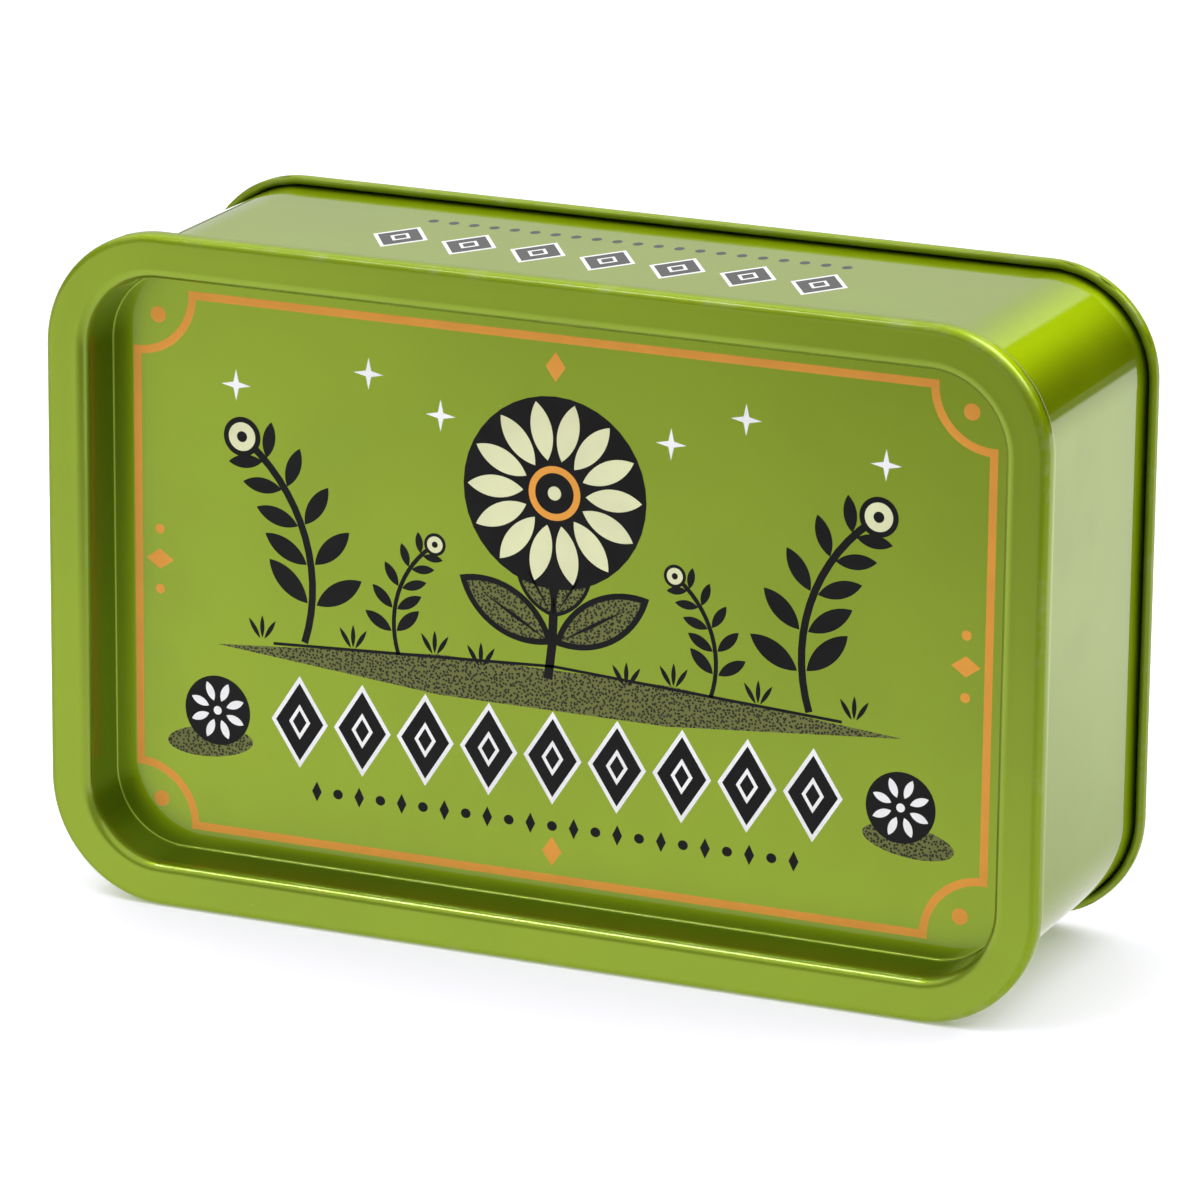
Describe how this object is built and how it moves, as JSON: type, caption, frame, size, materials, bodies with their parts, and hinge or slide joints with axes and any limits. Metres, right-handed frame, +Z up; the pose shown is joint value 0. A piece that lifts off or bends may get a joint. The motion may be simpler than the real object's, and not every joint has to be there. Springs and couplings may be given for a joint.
{
  "type": "storage tin",
  "caption": "Rounded rectangular metal storage tin with a recessed lift-off lid, standing on one long side.",
  "frame": {"origin": "on the floor under the middle of the tin as it stands on one long side", "axes": "+X along the tin's length, +Y from the lid to the bottom panel, +Z up"},
  "size_m": [0.19, 0.062, 0.1244],
  "materials": {
    "lid_lacquer": "glossy green lacquer on tinplate",
    "wall_lacquer": "glossy green lacquer on tinplate",
    "bottom_lacquer": "green lacquer on tinplate"
  },
  "bodies": {
    "tin_body": {"body_wall": "wall_lacquer", "bottom_panel": "bottom_lacquer"},
    "lid": {"lid": "lid_lacquer"}
  },
  "joints": [
    {"name": "lid_lift", "type": "slide", "parent": "tin_body", "child": "lid", "axis": [0, -1, 0], "range_m": [0, 0.08]}
  ]
}
